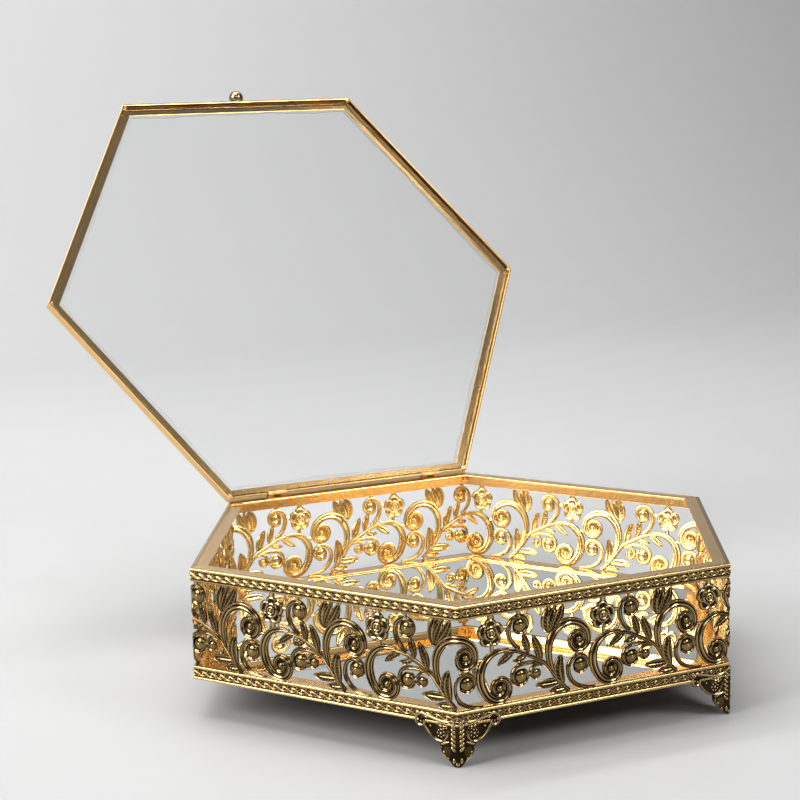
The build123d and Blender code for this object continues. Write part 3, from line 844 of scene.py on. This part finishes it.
def buildBars():
    thick = barSpec["thick"]
    outer = -galleryThick
    rimIn = (wallLow.y - rimHigh.y) / mm
    rimFoot = rimLow.z / mm
    rim = [(outer, rimTop), (outer, rimFoot), (outer - thick, rimFoot), (outer - thick, rimTop - thick),
           (rimIn, rimTop - thick), (rimIn, rimTop)]
    ledgeIn = (wallLow.y - ledgeHigh.y) / mm
    ledgeFoot = ledgeLow.z / mm
    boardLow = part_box("backing_board")[0].z / mm
    ledge = [(outer, openLow), (outer, ledgeFoot), (outer - thick, ledgeFoot),
             (outer - thick, openLow - thick), (ledgeIn, openLow - thick), (ledgeIn, openLow)]
    lidLow, lidHigh = shutBox("lid_bar_front")
    lidOut = (wallLow.y - lidLow.y) / mm
    lidIn = (wallLow.y - lidHigh.y) / mm
    skirt, top = lidLow.z / mm, lidHigh.z / mm
    lid = [(lidOut, top), (lidOut, skirt), (lidOut - thick, skirt), (lidOut - thick, top - thick),
           (lidIn, top - thick), (lidIn, top)]
    room = barSpec["notchRoom"]
    slots = []
    for side in ("left", "right"):
        low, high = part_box("hinge_" + side + "_box_leaf")
        at = (middle.x - (low.x + high.x) / 2) / mm
        slots.append((at, (high.x - low.x) / mm + 2 * room, high.z / mm + room))
    for k, name in enumerate(wallNames):
        buildBar(k, "rim_bar_" + name, "box", rim)
        buildBar(k, "ledge_bar_" + name, "box", ledge, lugTop=boardLow)
        notches = slots if name == "back" else ()
        buildBar(k, "lid_bar_" + name, "lid", lid, openLid, notches)
    print("bars done")


# Flat plates: mirror floor and lid glass
def hexRing(bm, inradius, filled=False):
    made = bmesh.ops.create_circle(bm, cap_ends=filled, segments=6, radius=inradius * 2 / math.sqrt(3),
                                   matrix=Matrix.Rotation(math.radians(30), 4, "Z"))
    return made["verts"]


def hexPlate(bm, inradius, low, high, chamfer):
    bmesh.ops.translate(bm, verts=hexRing(bm, inradius, True), vec=(0, 0, low))
    thicken(bm, bm.faces[:], (0, 0, high - low))
    soften(bm, bm.edges[:], chamfer)


def flatMatrix(turn=Matrix.Identity(4)):
    return turn @ Matrix.Translation((middle.x, middle.y, 0)) @ Matrix.Scale(mm, 4)


plateSpec = {"mirrorChamfer": 0.35, "glassChamfer": 0.2}


def buildPlates():
    bm = startMesh()
    hexPlate(bm, (mirrorHigh.y - mirrorLow.y) / 2 / mm, mirrorLow.z / mm, mirrorHigh.z / mm,
             plateSpec["mirrorChamfer"])
    addPiece(bm, "box", "mirror_floor", ["silveredMirror"], flatMatrix(), 20)
    low, high = shutBox("lid_glass")
    bm = startMesh()
    hexPlate(bm, (high.y - low.y) / 2 / mm, low.z / mm, high.z / mm, plateSpec["glassChamfer"])
    addPiece(bm, "lid", "lid_glass", ["clearGlass"], flatMatrix(openLid), 20)
    print("plates done")


filmSpec = {
    "reach": 1.4, "wander": 1.3,        # past the lid's flange, and how far the edge strays
    "inset": 0.02, "stepsPerSide": 60, "seed": 11,
    "waves": [(7, 1.0), (17, 0.7), (41, 0.5), (97, 0.3)],     # waves round the edge, and their size
}


def buildFilm():                        # adhesive squeezed out past the lid's flange in a wavy edge
    low, high = shutBox("glass_adhesive")
    flange = (middle.y - shutBox("lid_bar_front")[1].y) / mm
    inset = filmSpec["inset"]
    bm = startMesh()
    rings = []
    for inradius in ((high.y - low.y) / 2 / mm, flange - filmSpec["reach"]):
        edges = list({e for v in hexRing(bm, inradius) for e in v.link_edges})
        bmesh.ops.subdivide_edges(bm, edges=edges, cuts=filmSpec["stepsPerSide"] - 1)
        rings.append([v for v in bm.verts if all(v not in ring for ring in rings)])
    random.seed(filmSpec["seed"])
    phases = [random.uniform(0, 6.28) for _ in filmSpec["waves"]]
    for vert in rings[1]:
        a = math.atan2(vert.co.y, vert.co.x)
        wave = sum(size * math.sin(count * a + phase)
                   for (count, size), phase in zip(filmSpec["waves"], phases))
        vert.co *= 1 - filmSpec["wander"] * (0.25 * wave) / vert.co.length
    bmesh.ops.bridge_loops(bm, edges=[e for e in bm.edges if e.is_wire])
    bmesh.ops.translate(bm, verts=bm.verts, vec=(0, 0, low.z / mm + inset))
    bmesh.ops.recalc_face_normals(bm, faces=bm.faces)
    thicken(bm, bm.faces[:], (0, 0, (high.z - low.z) / mm - 2 * inset))
    addPiece(bm, "lid", "glass_adhesive", ["clearSilicone"], flatMatrix(openLid), 60)
    print("adhesive done")


# Feet: a wing along each wall, a rope down the corner and a small toe
footSpec = {
    "corners": {"foot_front_left": (240, 0, 5), "foot_front_right": (300, 1, 0),
                "foot_back_right": (60, 3, 2), "foot_back_left": (120, 4, 3)},
    "proud": 0.3,
    "thick": 1.2,                       # of the plate, behind the gallery's face
    "outline": [(-0.6, 4.3), (1.4, 3.4), (3.4, 2.2), (5.8, 1.4), (8.6, 1.3), (11.0, 1.9), (14.0, 3.0),
                (16.6, 3.0), (17.8, 1.4), (16.9, -0.3), (15.2, -0.6), (13.4, -3.0), (11.0, -5.3),
                (8.6, -6.9), (7.7, -7.2), (7.5, -9.2), (6.3, -11.2), (4.5, -12.8), (3.0, -14.1),
                (2.2, -15.1), (1.3, -15.7), (-0.6, -15.7)],
    "scrolls": [
        {"start": (15.2, -0.1), "heading": 242, "widths": (1.0, 1.2, 1.0), "eye": 0,
         "rise": 0.6, "slope": 0.1,
         "runs": [bend(16, -22), bend(7, -34), bend(3.0, -66), straight(1.8)]},
        {"start": (7.2, -7.6), "heading": 160, "widths": (1.2, 1.9, 0.9), "eye": 0,
         "rise": 0.5, "slope": 0.12, "runs": [straight(4.0)]},
        {"start": (7.2, -8.4), "heading": 268, "widths": (0.7, 0.8, 0.6), "eye": 0,
         "rise": 0.5, "slope": 0.1, "runs": [bend(5.2, -50), straight(2.6)]},
        {"start": (0.2, 3.7), "heading": 315, "widths": (1.0, 1.7, 1.5), "fill": 1.9, "eye": 0.7,
         "eyeRise": 0.7, "rise": 0.5, "slope": 0.12,
         "runs": [bend(8.5, 58), straight(5.0), bend(9, 10), bend(2.7, -110), bend(2.1, -120),
                  bend(1.4, -100)]},
    ],
    "leaves": [
        {"base": (3.8, 1.0), "tip": (10.6, 0.3), "width": 2.0, "bend": -0.2},
        {"base": (3.6, -0.4), "tip": (10.4, -2.0), "width": 2.3, "bend": 0.4},
        {"base": (3.2, -1.4), "tip": (4.6, -6.0), "width": 1.8, "bend": 0.4},
    ],
    "sunk": 0.25,                       # of the relief into the plate's face
    "ring": {"at": (7.2, -3.5), "radius": 1.5, "beads": 7, "size": 0.48, "eye": 0.7},
    # the lobe's value darkens it: patina and painted shade
    "lobe": {"at": (4.4, -10.0), "radius": 2.4, "rise": 0.75, "squash": 1.25, "hollow": 0.7},
    "toe": {"at": (1.5, -13.6), "radius": 0.75, "rise": 0.9, "squash": 1.9},
    "beads": [((5.7, -10.5), 0.55), ((3.9, -12.7), 0.45), ((11.6, -1.2), 0.5), ((12.6, 0.2), 0.5)],
    "rope": {"top": 1.6, "end": -9.6, "pitch": 1.75, "length": 3.3, "width": 1.4, "slant": 42,
             "from": 1.75},
}


def buildWing():
    bm = startMesh()
    layer = patinaShadeLayer(bm)
    verts = [bm.verts.new((x, bandLow + y, -footSpec["thick"])) for x, y in footSpec["outline"]]
    for vert in thicken(bm, [bm.faces.new(verts)], (0, 0, footSpec["thick"] + footSpec["proud"])):
        # the plate's face is darkened with patina and painted shade
        vert[layer] = 0.85
    relief = startMesh()
    for spec in footSpec["scrolls"]:
        scroll(relief, spec, wireSection)
    for spec in footSpec["leaves"]:
        leaf(relief, spec, -0.2)
    lobe = footSpec["lobe"]
    dome(relief, *lobe["at"], lobe["radius"], lobe["rise"], -0.25, 16, 10, lobe["squash"],
         hollow=lobe["hollow"])
    toe = footSpec["toe"]
    dome(relief, *toe["at"], toe["radius"], toe["rise"], -0.2, 10, 8, toe["squash"])
    ring = footSpec["ring"]
    x, y = ring["at"]
    dome(relief, x, y, ring["eye"], 0.6, 0.0, 8, 6)
    for i in range(ring["beads"]):
        a = math.tau * i / ring["beads"]
        dome(relief, x + ring["radius"] * math.cos(a), y + ring["radius"] * math.sin(a), ring["size"],
             0.5, 0.0, 8, 5)
    for (x, y), radius in footSpec["beads"]:
        dome(relief, x, y, radius, radius * 0.9, 0.3, 10, 6)
    rope = footSpec["rope"]
    y = rope["top"]
    while y > rope["end"]:
        dome(relief, rope["from"], y, rope["length"] / 2, 0.8, 0.0, 10, 6,
             rope["width"] / rope["length"], math.radians(rope["slant"]))
        y -= rope["pitch"]
    lift = footSpec["proud"] - footSpec["sunk"]
    bmesh.ops.translate(relief, verts=relief.verts, vec=(0, bandLow, lift))
    merge(bm, relief)
    bmesh.ops.translate(bm, verts=bm.verts, vec=(-wallSide / 2, 0, 0))
    mitre(bm, (-1,))
    print("wing", len(bm.faces), "faces")
    return endMesh(bm, "wing")


def buildFeet():
    wing = buildWing()
    flip = Matrix.Diagonal((-1, 1, 1, 1))
    for node, (degrees, nearWall, farWall) in footSpec["corners"].items():
        bm = startMesh()
        for k, shape in ((nearWall, Matrix.Identity(4)), (farWall, flip)):
            addCopy(bm, wing, wallMatrix(k) @ shape)
        corner = startMesh()
        dome(corner, 0, 1.0, 1.0, 0.6, -footSpec["sunk"], 12, 8, 0.9)
        bmesh.ops.transform(corner, matrix=cornerMatrix(degrees), verts=corner.verts)
        merge(bm, corner)
        # the feet take the darkened gold: painted shade
        addPiece(bm, "box", node, ["paintedShadeFrontGold"], Matrix.Identity(4))
    bpy.data.meshes.remove(wing)
    print("feet done")


# Knob on the lid's front bar
knobSpec = {"neck": 1.6, "neckLength": 0.2, "collarEdge": 0.2, "inset": 0.02, "arcSteps": 16,
            "turnSteps": 40}


def spinProfile(bm, profile):           # profile: points as (radius, z), turned about z
    verts = [bm.verts.new((radius, 0, z)) for radius, z in profile]
    edges = [bm.edges.new(pair) for pair in zip(verts, verts[1:])]
    bmesh.ops.spin(bm, geom=verts + edges, cent=(0, 0, 0), axis=(0, 0, 1), angle=math.tau,
                   steps=knobSpec["turnSteps"], use_merge=True)
    bmesh.ops.remove_doubles(bm, verts=bm.verts, dist=1e-4)


def buildKnob():
    low, high = shutBox("lid_knob")
    collarLow, collarHigh = shutBox("knob_collar")
    at = Vector(((low.x + high.x) / 2 / mm, (low.z + high.z) / 2 / mm, (wallLow.y - collarHigh.y) / mm))
    radius = (high.x - low.x) / 2 / mm - knobSpec["inset"]
    thick = (collarHigh.y - collarLow.y) / mm
    reach = (wallLow.y - low.y) / mm - at.z
    ball = reach - radius
    seat = thick + knobSpec["neckLength"]        # the ball is cut flat where it sits on its neck
    place = wallMatrix(0, openLid) @ Matrix.Translation(at)
    profile = [(0, thick), (knobSpec["neck"], thick), (knobSpec["neck"], seat)]
    start = math.acos((ball - seat) / radius)
    steps = knobSpec["arcSteps"]
    for i in range(steps + 1):
        a = start + (math.pi - start) * i / steps
        profile.append((radius * math.sin(a), ball - radius * math.cos(a)))
    bm = startMesh()
    spinProfile(bm, profile)
    # the knob takes the darkened gold: painted shade
    addPiece(bm, "lid", "lid_knob", ["knobGold"], place, 50)
    wide = (collarHigh.x - collarLow.x) / 2 / mm
    edge = knobSpec["collarEdge"]
    bm = startMesh()
    spinProfile(bm, [(0, 0), (wide, 0), (wide, thick - edge), (wide - edge, thick), (0, thick)])
    addPiece(bm, "lid", "knob_collar", ["knobGold"], place, 50)
    print("knob done")


# Solids that are right as they are only get a finish
keptNodes = {"rim_solder": "solderGold", "lid_solder": "solderGold", "backing_board": "brownHardboard"}
for sideName in ("left", "right"):
    keptNodes["hinge_" + sideName + "_box_leaf"] = "hingeGold"
    keptNodes["hinge_" + sideName + "_lid_leaf"] = "hingeGold"
    keptNodes["hinge_" + sideName + "_pin"] = "wireSteel"


def finishKept():
    for node, material in keptNodes.items():
        mesh = frame["nodes"][node].data
        mesh.materials.clear()
        mesh.materials.append(finishes[material])
    print("kept solids finished")


buildGallery()
buildBars()
buildPlates()
buildFilm()
buildFeet()
buildKnob()
finishKept()


# Studio
studio = {
    "floor": (0.37, 0.37, 0.37), "world": (0.17, 0.17, 0.17),
    "lights": {                         # place, aim, size, power
        "overhead": ((-0.2, 0.1, 1.2), (0, -0.1, 0), (0.9, 0.9), 12.5),
        "leftBox": ((-2.07, -0.1, 1.35), (0, -0.1, 0), (1.44, 1.44), 68),
        "rightBox": ((0.55, -1.05, 0.80), (0, -0.1, 0), (0.4, 0.4), 8),
        "frontBox": ((-0.5, -1.9, 1.4), (0, 0, 0.05), (1.2, 0.6), 7),
        "rightCard": ((0.86, -0.30, 1.40), (0.09, 0.13, 0.19), (0.2, 0.2), 0.9),
        "lowCard": ((0.63, -0.84, 1.09), (0, 0.05, 0.065), (0.26, 0.16), 1.2),
        "backdropLight": ((0, 0.5, 1.5), (0, 1.6, 0.5), (2.2, 0.5), 30),
    },
    "sweep": {"near": -5.0, "bend": 0.9, "radius": 0.7, "height": 3.2, "half": 5.0,
              "floor": -0.0002, "steps": 24},
}


def buildSweep():                       # floor and backdrop in one, joined by a wide bend
    spec = studio["sweep"]
    bm = bmesh.new()
    floor, steps = spec["floor"], spec["steps"]
    profile = [(spec["near"], floor), (spec["bend"], floor)]
    for i in range(1, steps + 1):
        a = math.pi / 2 * i / steps
        profile.append((spec["bend"] + spec["radius"] * math.sin(a),
                        spec["radius"] * (1 - math.cos(a)) + floor))
    profile.append((spec["bend"] + spec["radius"], spec["height"]))
    verts = [bm.verts.new((-spec["half"], y, z)) for y, z in profile]
    edges = [bm.edges.new(pair) for pair in zip(verts, verts[1:])]
    made = bmesh.ops.extrude_edge_only(bm, edges=edges)["geom"]
    bmesh.ops.translate(bm, verts=vertsIn(made), vec=(2 * spec["half"], 0, 0))
    mesh = endMesh(bm, "sweep")
    mesh.shade_smooth()
    material, tree, shader = startMaterial("paleFloor")
    cloud = noiseNode(tree, objectCoords(tree), 6, 3)
    feed(tree, shader, {"Roughness": rangeNode(tree, cloud, 0.3, 0.7, 0.5, 0.6),
                        "Base Color": (*studio["floor"], 1)})
    mesh.materials.append(material)
    sweepObject = addObject("sweep", mesh)


def buildStudio():
    buildSweep()
    for name, (at, aim, size, power) in studio["lights"].items():
        light = bpy.data.lights.new(name, "AREA")
        light.shape = "RECTANGLE"
        light.size, light.size_y = size
        light.energy = power
        lamp = addObject(name, light)
        lamp.location = at
        lamp.rotation_euler = (Vector(aim) - Vector(at)).to_track_quat("-Z", "Y").to_euler()
    world = bpy.data.worlds.new("studio")
    world.use_nodes = True
    world.node_tree.nodes["Background"].inputs["Color"].default_value = (*studio["world"], 1)
    bpy.context.scene.world = world
    bpy.context.scene.view_settings.view_transform = "Standard"
    print("studio done")


cameraSpec = {"azimuth": -27.1917, "elevation": 9.4525, "roll": -1.172, "lens": 90.86,
              "place": (-0.4111, -0.7452, 0.2613)}     # from the middle of the box, on the floor


def buildCamera():
    azimuth, elevation, roll = (math.radians(cameraSpec[key])
                                for key in ("azimuth", "elevation", "roll"))
    back = Vector((math.sin(azimuth) * math.cos(elevation), -math.cos(azimuth) * math.cos(elevation),
                   math.sin(elevation)))
    right = Vector((math.cos(azimuth), math.sin(azimuth), 0))
    up = back.cross(right)
    rolledRight = math.cos(roll) * right + math.sin(roll) * up
    rolledUp = math.cos(roll) * up - math.sin(roll) * right
    axes = Matrix((rolledRight, rolledUp, back)).transposed()
    lens = bpy.data.cameras.new("camera")
    lens.lens = cameraSpec["lens"]
    lens.sensor_width = 36
    lens.clip_start, lens.clip_end = 0.01, 50
    camera = addObject("camera", lens)
    camera.location = Vector(cameraSpec["place"]) + Vector((middle.x, middle.y, 0))
    camera.rotation_euler = axes.to_euler()
    bpy.context.scene.camera = camera
    print("camera done")


buildStudio()
buildCamera()
